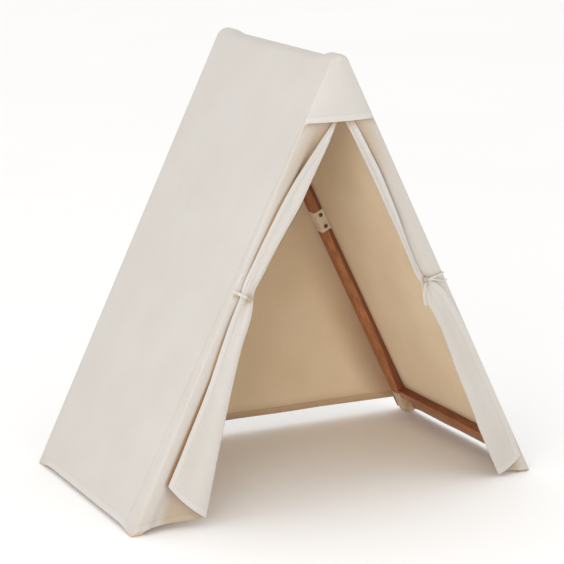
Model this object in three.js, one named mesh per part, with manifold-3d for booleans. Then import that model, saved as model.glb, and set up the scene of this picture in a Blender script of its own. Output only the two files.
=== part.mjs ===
// A-frame play tent: two wooden side frames, hinged to each other along the ridge, under a
// cotton canvas cover with a back wall, a front valance and two door curtains tied to the legs.
// Millimetres, +Z up. The front faces -Y and the left frame stands at -X. The origin is the
// centre of the footprint on the floor.
//
// Each side frame is drawn in its own coordinates, with the hinge axis at (0, 0):
//   n  runs square to the frame, away from the middle of the tent
//   s  runs up the slope, so the feet are at negative s
//   y  runs along the ridge
import * as THREE from "three";
import { mergeVertices } from "three/addons/utils/BufferGeometryUtils.js";
import Module from "manifold-3d";

// ---------------------------------------------------------------- driving dimensions
const HALF_WIDTH = 600; // outer canvas, at the floor
const APEX_HEIGHT = 1240; // where the two outer canvas planes would meet
const SLOPE = Math.atan(HALF_WIDTH / APEX_HEIGHT); // each side from the vertical
const SIN = Math.sin(SLOPE);
const COS = Math.cos(SLOPE);

const CANVAS_N = 33.5; // outer face of the side canvas from the hinge axis
const AXIS_Z = APEX_HEIGHT - CANVAS_N / SIN; // height of the hinge axis
const GAP = 0.3; // between pieces that touch

const LEG_IN = 3.5; // inner face of a leg, in n
const LEG_OUT = 31.5; // outer face of a leg, in n
const LEG_Y_IN = 304; // legs from here
const LEG_Y_OUT = 340; // to here, front and back
const FOOT_Z = 2.3; // end of the wood, inside the canvas pocket

const RAIL = 24; // section of the rails
const BOTTOM_RAIL_Z = 48; // lower inner edge of the bottom rails
const TOP_RAIL_IN = 7; // inner face of the top rails, in n

const CLOTH = 1.2; // thickness of one layer of canvas
const STRIP_Y = 341.9; // layers of canvas at the front, each CLOTH thick
const LEFT_DOOR_Y = 343.5;
const RIGHT_DOOR_Y = 345.1;
const VALANCE_Y = 346.7;
const BACK_WALL_Y = 343.5;
const PANEL_Y = 343.1; // half the length of the ridge canvas
const SIDE_HEM_Z = 10;
const BACK_HEM_Z = 42;
const VALANCE_HEM_Z = 1031;

const TIE_S = -629; // height of the ties on the slope
const TIE_WIDTH = 12;
const KNOT_RADIUS = 7.5;
const KNOT_HALF_DEPTH = 5.5;
const LEFT_KNOT_N = -14;
const RIGHT_KNOT_N = -22;
const LEFT_KNOT_Y = LEFT_DOOR_Y + CLOTH + GAP + KNOT_HALF_DEPTH;
const RIGHT_KNOT_Y = RIGHT_DOOR_Y + CLOTH + GAP + KNOT_HALF_DEPTH;

const TAIL_WIDTH = 9;
const TAIL_THICKNESS = 1.2;

const TAB_S = -611; // middle of the snap tabs on the slope
const TAB_HEIGHT = 66;
const SNAP_RADIUS = 6;
const SNAP_SPACING = 38;
const SNAP_N = 19;

const POCKET_WALL = 1.5;
const POCKET_TOP_Z = 62;

// ---------------------------------------------------------------- materials
const WOOD = new THREE.MeshStandardMaterial({ name: "wood", color: 0x92572f, roughness: 0.6 });
const CANVAS = new THREE.MeshStandardMaterial({ name: "canvas", color: 0xded7cf, roughness: 0.95 });
const TAPE = new THREE.MeshStandardMaterial({ name: "tape", color: 0xd9d0c2, roughness: 0.9 });
const STEEL = new THREE.MeshStandardMaterial({
  name: "steel",
  color: 0xb8b8b4,
  roughness: 0.35,
  metalness: 1,
});
const SNAP_METAL = new THREE.MeshStandardMaterial({
  name: "snap_metal",
  color: 0x9b8466,
  roughness: 0.4,
  metalness: 1,
});

// ---------------------------------------------------------------- solids
const wasm = await Module();
wasm.setup();

function toManifold(geometry) {
  const bare = geometry.clone();
  bare.deleteAttribute("normal");
  bare.deleteAttribute("uv");
  const merged = mergeVertices(bare, 1e-4);
  const vertProperties = new Float32Array(merged.getAttribute("position").array);
  const triVerts = new Uint32Array(merged.getIndex().array);
  return new wasm.Manifold(new wasm.Mesh({ numProp: 3, vertProperties, triVerts }));
}

function toGeometry(manifold) {
  const mesh = manifold.getMesh();
  const geometry = new THREE.BufferGeometry();
  geometry.setAttribute("position", new THREE.BufferAttribute(mesh.vertProperties, 3));
  geometry.setIndex(new THREE.BufferAttribute(mesh.triVerts, 1));
  geometry.computeVertexNormals();
  return geometry;
}

function cut(geometry, tools) {
  let solid = toManifold(geometry);
  for (const tool of tools) {
    solid = solid.subtract(toManifold(tool));
  }
  return toGeometry(solid);
}

function join(geometries) {
  let solid = toManifold(geometries[0]);
  for (const other of geometries.slice(1)) {
    solid = solid.add(toManifold(other));
  }
  return toGeometry(solid);
}

// A flat piece whose outline is drawn across the ridge, [n, s] or [x, z], from y0 to y1.
function slab(outline, y0, y1) {
  const shape = new THREE.Shape(outline.map(([a, b]) => new THREE.Vector2(a, b)));
  const low = Math.min(y0, y1);
  const high = Math.max(y0, y1);
  const geometry = new THREE.ExtrudeGeometry(shape, { depth: high - low, bevelEnabled: false });
  geometry.rotateX(Math.PI / 2);
  geometry.translate(0, high, 0);
  return geometry;
}

// A round bar along y.
function barAlongY(radius, y0, y1, n, s, sides = 16) {
  const geometry = new THREE.CylinderGeometry(radius, radius, Math.abs(y1 - y0), sides);
  geometry.translate(n, (y0 + y1) / 2, s);
  return geometry;
}

// A round bar along n.
function barAlongN(radius, n0, n1, y, s, sides = 16) {
  const geometry = new THREE.CylinderGeometry(radius, radius, n1 - n0, sides);
  geometry.rotateZ(Math.PI / 2);
  geometry.translate((n0 + n1) / 2, y, s);
  return geometry;
}

// Points on an arc about the hinge axis. Angles are from the n direction towards s.
function arc(radius, from, to, steps) {
  const points = [];
  for (let i = 0; i <= steps; i += 1) {
    const angle = from + ((to - from) * i) / steps;
    points.push([radius * Math.cos(angle), radius * Math.sin(angle)]);
  }
  return points;
}

// The place on the slope where a line at this n is this high above the floor.
function slopeAt(z, n) {
  return (z - AXIS_Z - n * SIN) / COS;
}

const group = new THREE.Group();

function add(parent, name, geometry, material) {
  const mesh = new THREE.Mesh(geometry, material);
  mesh.name = name;
  parent.add(mesh);
  return mesh;
}

// ---------------------------------------------------------------- side frames
// A leg is a square bar. Its top is rounded about the hinge axis, bevelled where it meets the
// other frame's leg, and notched for the hinge knuckle.
const KNUCKLE_NOTCH = 4.4;
const BEVEL_GAP = 0.6; // from the middle plane, with the tent open

function legOutline() {
  const bevelAngle = (radius) => Math.acos(BEVEL_GAP / radius) - SLOPE;
  return [
    [LEG_IN, slopeAt(FOOT_Z, LEG_IN)],
    ...arc(KNUCKLE_NOTCH, -Math.acos(LEG_IN / KNUCKLE_NOTCH), bevelAngle(KNUCKLE_NOTCH), 6),
    ...arc(LEG_OUT, bevelAngle(LEG_OUT), 0, 10),
    [LEG_OUT, slopeAt(FOOT_Z, LEG_OUT)],
  ];
}

const BOTTOM_RAIL_IN = LEG_OUT - RAIL;
const BOTTOM_RAIL_S = slopeAt(BOTTOM_RAIL_Z, BOTTOM_RAIL_IN);
const BOLT_N = LEG_OUT - RAIL / 2;
const BOLT_S = BOTTOM_RAIL_S + RAIL / 2;
const BOLT_RADIUS = 3.5;
const BOLT_HEAD_RADIUS = 7;
const BOLT_HEAD_HEIGHT = 4;
const BOLT_IN_RAIL = 32;

const bottomRailOutline = [
  [BOTTOM_RAIL_IN, BOTTOM_RAIL_S],
  [BOTTOM_RAIL_IN, BOTTOM_RAIL_S + RAIL],
  [LEG_OUT, BOTTOM_RAIL_S + RAIL],
  [LEG_OUT, BOTTOM_RAIL_S],
];

// The upper outer edge is planed off, so that it stays below the ridge canvas.
const topRailOutline = [
  [TOP_RAIL_IN, 12 - RAIL],
  [TOP_RAIL_IN, 12],
  [TOP_RAIL_IN + 15, 12],
  [TOP_RAIL_IN + RAIL, 1],
  [TOP_RAIL_IN + RAIL, 12 - RAIL],
];

const HINGE_LEAF_IN = 1.7;
const HINGE_LEAF_OUT = 3.2;
const HINGE_LENGTH = 30;
const HINGE_LEAF_BOTTOM = -60;
const HINGE_SCREWS = [
  { s: -22, y: 7 },
  { s: -48, y: -7 },
];
const HINGE_SCREW_RADIUS = 1.75;
const HINGE_SCREW_LENGTH = 15;
const SCREW_CLEARANCE = 0.3;
const HINGE_Y = (LEG_Y_IN + LEG_Y_OUT) / 2;

// frontOrBack is +1 or -1: the leg's sign in y. The holes take the hinge screws and a rail bolt.
function leg(frontOrBack) {
  const y0 = frontOrBack * LEG_Y_IN;
  const y1 = frontOrBack * LEG_Y_OUT;
  const headSeat = y1 - frontOrBack * (BOLT_HEAD_HEIGHT + SCREW_CLEARANCE);
  const holes = [
    barAlongY(BOLT_RADIUS + SCREW_CLEARANCE, y0 - frontOrBack, y1, BOLT_N, BOLT_S),
    barAlongY(BOLT_HEAD_RADIUS + SCREW_CLEARANCE, headSeat, y1 + frontOrBack, BOLT_N, BOLT_S),
  ];
  for (const { s, y } of HINGE_SCREWS) {
    const depth = LEG_IN + HINGE_SCREW_LENGTH;
    const holeY = frontOrBack * HINGE_Y + y;
    holes.push(barAlongN(HINGE_SCREW_RADIUS + SCREW_CLEARANCE, LEG_IN - 1, depth, holeY, s, 12));
  }
  return cut(slab(legOutline(), y0, y1), holes);
}

function bottomRail() {
  const end = LEG_Y_IN - GAP;
  const holes = [-1, 1].map((sign) =>
    barAlongY(
      BOLT_RADIUS + SCREW_CLEARANCE,
      sign * (end - BOLT_IN_RAIL - SCREW_CLEARANCE),
      sign * (end + 1),
      BOLT_N,
      BOLT_S,
    ),
  );
  return cut(slab(bottomRailOutline, -end, end), holes);
}

// Head in the leg's counterbore, shank through the leg and into the end of the rail.
function railBolt(sign) {
  const head = sign * LEG_Y_OUT;
  const neck = head - sign * BOLT_HEAD_HEIGHT;
  const tip = sign * (LEG_Y_IN - GAP - BOLT_IN_RAIL);
  return join([
    barAlongY(BOLT_HEAD_RADIUS, neck, head, BOLT_N, BOLT_S),
    barAlongY(BOLT_RADIUS, tip, neck + sign, BOLT_N, BOLT_S),
  ]);
}

// ---------------------------------------------------------------- hinges
const PIN_RADIUS = 1.98;
const KNUCKLE_BORE = 2.06;
const KNUCKLE_RADIUS = 3.2;
const KNUCKLES = 5;
const KNUCKLE_SPACE = 0.4;
const PIN_HEAD_RADIUS = 3;
const PIN_HEAD_HEIGHT = 1.2;

// One leaf, in the middle of its leg. The knuckles whose number has the given parity are its own.
function hingeLeaf(yMiddle, parity) {
  const y0 = yMiddle - HINGE_LENGTH / 2;
  const plate = [
    [HINGE_LEAF_IN, HINGE_LEAF_BOTTOM],
    [HINGE_LEAF_IN, -KNUCKLE_NOTCH],
    [HINGE_LEAF_OUT, -KNUCKLE_NOTCH],
    [HINGE_LEAF_OUT, HINGE_LEAF_BOTTOM],
  ];
  const web = [
    [HINGE_LEAF_IN, -KNUCKLE_NOTCH - 1],
    [HINGE_LEAF_IN, 0],
    [HINGE_LEAF_OUT, 0],
    [HINGE_LEAF_OUT, -KNUCKLE_NOTCH - 1],
  ];
  const pieces = [slab(plate, y0, y0 + HINGE_LENGTH)];
  const pitch = HINGE_LENGTH / KNUCKLES;
  for (let i = 0; i < KNUCKLES; i += 1) {
    if (i % 2 === parity) {
      const from = y0 + i * pitch + KNUCKLE_SPACE / 2;
      const to = y0 + (i + 1) * pitch - KNUCKLE_SPACE / 2;
      pieces.push(slab(web, from, to));
      pieces.push(barAlongY(KNUCKLE_RADIUS, from, to, 0, 0, 24));
    }
  }
  const holes = [barAlongY(KNUCKLE_BORE, y0 - 1, y0 + HINGE_LENGTH + 1, 0, 0, 32)];
  for (const { s, y } of HINGE_SCREWS) {
    const radius = HINGE_SCREW_RADIUS + SCREW_CLEARANCE;
    holes.push(barAlongN(radius, HINGE_LEAF_IN - 1, HINGE_LEAF_OUT + 1, yMiddle + y, s, 12));
  }
  return cut(join(pieces), holes);
}

function hingePin(yMiddle) {
  const half = HINGE_LENGTH / 2 + GAP;
  return join([
    barAlongY(PIN_RADIUS, yMiddle - half - 1, yMiddle + half + 1, 0, 0, 32),
    barAlongY(PIN_HEAD_RADIUS, yMiddle - half - PIN_HEAD_HEIGHT, yMiddle - half, 0, 0, 24),
    barAlongY(PIN_HEAD_RADIUS, yMiddle + half, yMiddle + half + PIN_HEAD_HEIGHT, 0, 0, 24),
  ]);
}

// A round-headed wood screw through the leaf into the leg.
function hingeScrew(yMiddle, s) {
  const headTop = HINGE_LEAF_IN - GAP;
  return join([
    barAlongN(3.4, headTop - 1.1, headTop, yMiddle, s, 16),
    barAlongN(HINGE_SCREW_RADIUS, headTop - 0.5, LEG_IN + HINGE_SCREW_LENGTH - 1, yMiddle, s, 12),
  ]);
}

// ---------------------------------------------------------------- canvas on a side frame
// The sloping side, with its two lower corners left to the foot pockets.
function sidePanel() {
  const n = CANVAS_N - CLOTH;
  const top = -0.4;
  const hem = slopeAt(SIDE_HEM_Z, n);
  const corner = slopeAt(POCKET_TOP_Z + 2, n);
  const cornerY = LEG_Y_IN - POCKET_WALL - 1;
  const outline = [
    [-PANEL_Y, top],
    [-PANEL_Y, corner],
    [-cornerY, corner],
    [-cornerY, hem],
    [cornerY, hem],
    [cornerY, corner],
    [PANEL_Y, corner],
    [PANEL_Y, top],
  ];
  const shape = new THREE.Shape(outline.map(([y, s]) => new THREE.Vector2(y, s)));
  const geometry = new THREE.ExtrudeGeometry(shape, { depth: CLOTH, bevelEnabled: false });
  const basis = new THREE.Matrix4().makeBasis(
    new THREE.Vector3(0, 1, 0),
    new THREE.Vector3(0, 0, 1),
    new THREE.Vector3(1, 0, 0),
  );
  geometry.applyMatrix4(basis);
  geometry.translate(n, 0, 0);
  return geometry;
}

// The canvas that turns the corner and covers the front of the leg.
function frontStrip(front) {
  const edge = CANVAS_N - CLOTH - GAP;
  const bottom = POCKET_TOP_Z + 2;
  const outline = [
    [0, slopeAt(bottom, 0)],
    [0, -40],
    [edge, -40],
    [edge, slopeAt(bottom, edge)],
  ];
  return slab(outline, front * STRIP_Y, front * (STRIP_Y + CLOTH));
}

// A strap round the inside of the leg, its two ends sewn to the side canvas.
function legTab(sign) {
  const y0 = LEG_Y_IN - GAP;
  const y1 = LEG_Y_OUT + GAP;
  const n0 = LEG_IN - GAP;
  const n1 = CANVAS_N - CLOTH - GAP;
  const outline = [
    [n1, y0 - CLOTH],
    [n0 - CLOTH, y0 - CLOTH],
    [n0 - CLOTH, y1 + CLOTH],
    [n1, y1 + CLOTH],
    [n1, y1],
    [n0, y1],
    [n0, y0],
    [n1, y0],
  ];
  const shape = new THREE.Shape(outline.map(([n, y]) => new THREE.Vector2(n, sign * y)));
  const geometry = new THREE.ExtrudeGeometry(shape, { depth: TAB_HEIGHT, bevelEnabled: false });
  geometry.translate(0, 0, TAB_S - TAB_HEIGHT / 2);
  return geometry;
}

// A domed press stud on the tab's face towards the middle of the tent.
function snap(sign, offset) {
  const profile = [
    new THREE.Vector2(0, 0),
    new THREE.Vector2(SNAP_RADIUS, 0),
    new THREE.Vector2(SNAP_RADIUS, 0.9),
    new THREE.Vector2(SNAP_RADIUS * 0.75, 1.7),
    new THREE.Vector2(SNAP_RADIUS * 0.35, 2.1),
    new THREE.Vector2(0, 2.2),
  ];
  const geometry = new THREE.LatheGeometry(profile, 20);
  const face = LEG_Y_IN - GAP - CLOTH - GAP;
  if (sign > 0) {
    geometry.rotateX(Math.PI);
  }
  geometry.translate(SNAP_N, sign * face, TAB_S + offset);
  return geometry;
}

// A canvas cup sewn into the corner of the cover. The foot stands in it.
function footPocket(sign) {
  const outside = (n0, n1, low) => [
    [n0, slopeAt(low, n0)],
    [n0, slopeAt(POCKET_TOP_Z, n0)],
    [n1, slopeAt(POCKET_TOP_Z, n1)],
    [n1, slopeAt(low, n1)],
  ];
  const inside = (n0, n1, low) => [
    [n0, slopeAt(low, n0)],
    [n0, slopeAt(POCKET_TOP_Z + 5, n0)],
    [n1, slopeAt(POCKET_TOP_Z + 5, n1)],
    [n1, slopeAt(low, n1)],
  ];
  const n0 = LEG_IN - GAP;
  const n1 = LEG_OUT + GAP;
  const y0 = sign * (LEG_Y_IN - GAP);
  const y1 = sign * (LEG_Y_OUT + GAP);
  const wall = sign * POCKET_WALL;
  const outer = slab(outside(n0 - POCKET_WALL, n1 + POCKET_WALL, 0), y0 - wall, y1 + wall);
  const inner = slab(inside(n0, n1, FOOT_Z - GAP), y0, y1);
  // The rail passes above the pocket's inner wall, which is cut down to clear it.
  const railRoom = slab(
    [
      [BOTTOM_RAIL_IN - 1, BOTTOM_RAIL_S - 1],
      [BOTTOM_RAIL_IN - 1, BOTTOM_RAIL_S + RAIL],
      [LEG_OUT + 6, BOTTOM_RAIL_S + RAIL],
      [LEG_OUT + 6, BOTTOM_RAIL_S - 1],
    ],
    y0 - wall * 2,
    y0 + wall * 0.1,
  );
  return cut(outer, [inner, railRoom]);
}

// ---------------------------------------------------------------- doors and ties
// Each curtain is folded back on itself, pinched by its tie and spread again below it.
const doors = {
  left: {
    y: LEFT_DOOR_Y,
    knotN: LEFT_KNOT_N,
    knotY: LEFT_KNOT_Y,
    upper: [
      [31, -70],
      [-48, -112],
      [-57, -230],
      [-39, -430],
      [-12, -614],
      [31, -614],
    ],
    lower: [
      [31, -644],
      [-6, -644],
      [-89, -947],
      [-146, slopeAt(16, -146)],
      [31, slopeAt(12, 31)],
    ],
  },
  right: {
    y: RIGHT_DOOR_Y,
    knotN: RIGHT_KNOT_N,
    knotY: RIGHT_KNOT_Y,
    upper: [
      [31, -70],
      [-41, -112],
      [-41, -560],
      [-20, -614],
      [31, -614],
    ],
    lower: [
      [31, -644],
      [-24, -644],
      [-54, -815],
      [-61, slopeAt(10, -61)],
      [31, slopeAt(12, 31)],
    ],
  },
};

function tieBand(front, door) {
  const low = TIE_S - TIE_WIDTH / 2;
  const high = TIE_S + TIE_WIDTH / 2;
  const inner = door.knotN + 4;
  const outline = [
    [inner, low],
    [inner, high],
    [31, high],
    [31, low],
  ];
  return slab(outline, front * door.y, front * (door.y + CLOTH));
}

function tieKnot(front, door) {
  const geometry = new THREE.SphereGeometry(1, 16, 10);
  geometry.scale(KNOT_RADIUS, KNOT_HALF_DEPTH, KNOT_RADIUS);
  geometry.translate(door.knotN, front * door.knotY, TIE_S);
  return geometry;
}

// ---------------------------------------------------------------- one whole side
function side(name, turn) {
  const frame = new THREE.Group();
  frame.rotation.y = -SLOPE;
  const facing = new THREE.Group();
  facing.rotation.z = turn;
  facing.position.set(0, 0, AXIS_Z);
  facing.add(frame);
  group.add(facing);

  // The left side is the right side turned round, so its front is at positive y.
  const front = turn === 0 ? -1 : 1;
  const ends = [
    ["front", front],
    ["back", -front],
  ];
  const knuckleParity = turn === 0 ? 1 : 0;

  add(frame, `${name}_bottom_rail`, bottomRail(), WOOD);
  add(frame, `${name}_top_rail`, slab(topRailOutline, GAP - LEG_Y_IN, LEG_Y_IN - GAP), WOOD);
  add(frame, `${name}_side_panel`, sidePanel(), CANVAS);
  add(frame, `${name}_front_strip`, frontStrip(front), CANVAS);

  for (const [end, sign] of ends) {
    add(frame, `${name}_${end}_leg`, leg(sign), WOOD);
    add(frame, `${name}_${end}_rail_bolt`, railBolt(sign), STEEL);
    add(frame, `${name}_${end}_foot_pocket`, footPocket(sign), CANVAS);
    add(frame, `${name}_${end}_leg_tab`, legTab(sign), TAPE);
    add(frame, `${end}_hinge_${name}_leaf`, hingeLeaf(sign * HINGE_Y, knuckleParity), STEEL);
    [-1, 1].forEach((direction, i) => {
      const offset = (direction * SNAP_SPACING) / 2;
      add(frame, `${name}_${end}_snap_${i + 1}`, snap(sign, offset), SNAP_METAL);
    });
    HINGE_SCREWS.forEach(({ s, y }, i) => {
      const screw = hingeScrew(sign * HINGE_Y + y, s);
      add(frame, `${end}_hinge_${name}_screw_${i + 1}`, screw, STEEL);
    });
  }

  const door = doors[name];
  for (const part of ["upper", "lower"]) {
    const curtain = slab(door[part], front * door.y, front * (door.y + CLOTH));
    add(frame, `${name}_door_${part}`, curtain, CANVAS);
  }
  add(frame, `${name}_tie_band`, tieBand(front, door), TAPE);
  add(frame, `${name}_tie_knot`, tieKnot(front, door), TAPE);
}

// ---------------------------------------------------------------- the middle of the cover
// The ridge canvas is an arc about the hinge axis, as wide as the two sides leave.
function ridgeCap() {
  const reach = Math.PI / 2 - SLOPE;
  const ring = (radius, from, to) =>
    arc(radius, Math.PI / 2 + from, Math.PI / 2 + to, 16).map(([x, z]) => [x, z]);
  return slab(
    [...ring(CANVAS_N, -reach, reach), ...ring(CANVAS_N - CLOTH, reach, -reach)],
    -PANEL_Y,
    PANEL_Y,
  );
}

// A wall across the end of the tent, rounded over the ridge, down to a level hem.
function endWall(hemZ) {
  const reach = Math.PI / 2 - SLOPE;
  const halfWidth = (APEX_HEIGHT - hemZ) * Math.tan(SLOPE);
  return [
    ...arc(CANVAS_N, Math.PI / 2 - reach, Math.PI / 2 + reach, 16),
    [-halfWidth, hemZ - AXIS_Z],
    [halfWidth, hemZ - AXIS_Z],
  ];
}

function middle() {
  const centre = new THREE.Group();
  centre.position.set(0, 0, AXIS_Z);
  group.add(centre);
  add(centre, "ridge_cap", ridgeCap(), CANVAS);
  add(centre, "back_wall", slab(endWall(BACK_HEM_Z), BACK_WALL_Y, BACK_WALL_Y + CLOTH), CANVAS);
  const valance = slab(endWall(VALANCE_HEM_Z), -VALANCE_Y - CLOTH, -VALANCE_Y);
  add(centre, "front_valance", valance, CANVAS);
  add(centre, "front_hinge_pin", hingePin(-HINGE_Y), STEEL);
  add(centre, "back_hinge_pin", hingePin(HINGE_Y), STEEL);
}

// ---------------------------------------------------------------- loose tail of the right tie
// Flat tape that hangs from the knot, down through the points, each [x, y, z] from the knot.
const tailRoute = [
  [0, 0, -KNOT_RADIUS - 0.6],
  [-4, -1.5, -20],
  [-5, -2, -34],
  [-4.5, -1.5, -50],
  [-1, -1, -66],
];

function tieTail(points) {
  const route = new THREE.CatmullRomCurve3(points.map((p) => new THREE.Vector3(...p)));
  const section = new THREE.Shape();
  const sides = 8;
  for (let i = 0; i < sides; i += 1) {
    const angle = ((i + 0.5) * 2 * Math.PI) / sides;
    const x = (TAIL_THICKNESS / 2) * Math.cos(angle);
    const y = (TAIL_WIDTH / 2) * Math.sin(angle);
    if (i === 0) {
      section.moveTo(x, y);
    } else {
      section.lineTo(x, y);
    }
  }
  section.closePath();
  return new THREE.ExtrudeGeometry(section, { steps: 14, extrudePath: route });
}

function tail() {
  const knot = new THREE.Group();
  const x = RIGHT_KNOT_N * COS - TIE_S * SIN;
  const z = AXIS_Z + RIGHT_KNOT_N * SIN + TIE_S * COS;
  knot.position.set(x, -RIGHT_KNOT_Y, z);
  group.add(knot);
  add(knot, "right_tie_tail", tieTail(tailRoute), TAPE);
}

side("left", Math.PI);
side("right", 0);
middle();
tail();

// Centre the footprint on the origin.
const extent = new THREE.Box3().setFromObject(group);
group.position.y = -(extent.min.y + extent.max.y) / 2;

export default group;
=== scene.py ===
"""A-frame play tent: canvas cover, door curtains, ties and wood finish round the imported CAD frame."""

import math

import bmesh
import bpy
import numpy as np
from mathutils import Matrix, Vector, noise


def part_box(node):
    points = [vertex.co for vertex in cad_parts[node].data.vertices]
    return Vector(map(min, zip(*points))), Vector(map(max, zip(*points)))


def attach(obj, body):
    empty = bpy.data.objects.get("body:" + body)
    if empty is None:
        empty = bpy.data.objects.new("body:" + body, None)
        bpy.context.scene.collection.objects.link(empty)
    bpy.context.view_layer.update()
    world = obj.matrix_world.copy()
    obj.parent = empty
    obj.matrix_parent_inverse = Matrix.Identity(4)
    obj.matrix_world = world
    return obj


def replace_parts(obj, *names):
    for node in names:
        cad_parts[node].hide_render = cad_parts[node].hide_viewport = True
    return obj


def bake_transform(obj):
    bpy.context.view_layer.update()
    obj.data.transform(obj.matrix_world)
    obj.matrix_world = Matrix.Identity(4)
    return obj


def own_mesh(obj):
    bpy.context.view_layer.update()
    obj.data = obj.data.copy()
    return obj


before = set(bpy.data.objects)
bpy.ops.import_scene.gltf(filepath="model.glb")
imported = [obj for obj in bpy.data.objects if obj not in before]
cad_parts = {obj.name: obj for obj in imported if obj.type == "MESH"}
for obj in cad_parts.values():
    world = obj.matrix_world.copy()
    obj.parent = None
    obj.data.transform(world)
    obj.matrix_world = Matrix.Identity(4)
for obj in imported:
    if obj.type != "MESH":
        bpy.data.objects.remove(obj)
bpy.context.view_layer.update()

# -------- places from the CAD, in metres
PEAK_Z = 1.240  # where the outer faces of the two sides would meet, as in the CAD
HALF_BASE = 0.600  # at the floor, from the middle to those faces
SLOPE = math.atan(HALF_BASE / PEAK_Z)  # each side from the vertical
SIN = math.sin(SLOPE)
COS = math.cos(SLOPE)
pin_low, pin_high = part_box("front_hinge_pin")
AXIS_Z = (pin_low[2] + pin_high[2]) / 2  # hinge line along the ridge
CANVAS_N = 0.0335  # outer face of the side canvas from the hinge line
STRIP_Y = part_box("left_front_strip")[0][1]
BACK_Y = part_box("back_wall")[1][1]
VALANCE_HEM_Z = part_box("front_valance")[0][2]
BACK_HEM_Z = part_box("back_wall")[0][2]
DOOR_Y = {name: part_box(f"{name}_door_upper")[0][1] for name in ("left", "right")}
TIE_S = -0.629  # height of the curtain ties on the slope
CLOTH = 0.0009  # thickness
CORNER = 0.006  # radius where the cover turns round the legs
TURNED = 0.0325  # how deep the cover's edges turn in over the legs
FRONT_PUFF = 0.0045  # how far the cloth stands above the front hinge
LEG_FACES_Y = (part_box("left_front_leg")[1][1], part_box("left_back_leg")[0][1])
SEAM_DRIFT = 0.057  # how far back from the corner the front seams reach the floor
RAIL_TOP_S = -1.2184  # top of the bottom rails, at their inner edge
STITCH_LINE = 0.0175  # from a hem's edge to its row of stitches
SIDES = {"left": -1, "right": 1}


def on_side(side, n, s, y):
    """Points from a side's own coordinates: n outwards from the hinge line, s up the slope."""
    n, s, y = np.broadcast_arrays(n, s, y)
    x = side * (n * COS - s * SIN)
    z = AXIS_Z + n * SIN + s * COS
    return np.stack([x, y, z], axis=-1)


def slope_at(z, n):
    """The s at which the line at this n is this high."""
    return (z - AXIS_Z - n * SIN) / COS


# -------- camera
def add_camera():
    camera = bpy.data.cameras.new("camera")
    camera.lens = 140.3
    camera.sensor_width = 36
    camera.clip_end = 200
    holder = bpy.data.objects.new("camera", camera)
    bpy.context.scene.collection.objects.link(holder)
    yaw = math.radians(26.03)
    pitch = math.radians(13.5)
    roll = math.radians(-0.29)
    turn = Matrix.Rotation(-yaw, 4, "Z") @ Matrix.Rotation(math.pi / 2 - pitch, 4, "X")
    place = Matrix.Translation((-2.577, -5.272, 1.943))
    holder.matrix_world = place @ turn @ Matrix.Rotation(roll, 4, "Z")
    bpy.context.scene.camera = holder


# -------- number helpers
def stations(breaks, step):
    """Sorted values that include every break and are at most step apart."""
    values = [breaks[0]]
    for low, high in zip(breaks, breaks[1:]):
        count = max(1, math.ceil((high - low) / step - 1e-9))
        values.extend(low + (high - low) * (k + 1) / count for k in range(count))
    return np.array(values)


def eased(table, at, blur=0.016):
    """A curve through the table's (position, value) points, with its corners rounded."""
    xs, ys = np.array(sorted(table)).T
    offsets = np.linspace(-blur, blur, 9)
    return np.mean([np.interp(at + offset, xs, ys) for offset in offsets], axis=0)


def smoothstep(low, high, value):
    """Goes from 0 to 1 as value goes from low to high, which may be the smaller one."""
    t = np.clip((value - low) / (high - low), 0, 1)
    return t * t * (3 - 2 * t)


def ripple(points, size, seed):
    """Smooth noise from -1 to 1 at each point, with lumps of that size in metres."""
    shape = points.shape[:-1]
    flat = points.reshape(-1, 3) / size
    shift = Vector((seed * 7.3, seed * 3.1, seed * 5.7))
    return np.array([noise.noise(Vector(p) + shift) for p in flat]).reshape(shape)


# -------- mesh helpers
def new_object(name, vertices, faces, materials, material_index=None):
    mesh = bpy.data.meshes.new(name)
    mesh.from_pydata([tuple(v) for v in vertices], [], [tuple(f) for f in faces])
    for material in materials:
        mesh.materials.append(material)
    if material_index is not None:
        mesh.polygons.foreach_set("material_index", material_index)
    mesh.polygons.foreach_set("use_smooth", [True] * len(mesh.polygons))
    mesh.set_sharp_from_angle(angle=math.radians(50))
    mesh.update()
    obj = bpy.data.objects.new(name, mesh)
    bpy.context.scene.collection.objects.link(obj)
    return obj


def grid_normals(points):
    """Unit normals at a grid of points."""
    along_rows = np.gradient(points, axis=0)
    along_columns = np.gradient(points, axis=1)
    normals = np.cross(along_rows, along_columns)
    length = np.linalg.norm(normals, axis=-1, keepdims=True)
    return normals / np.maximum(length, 1e-12)


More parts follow.
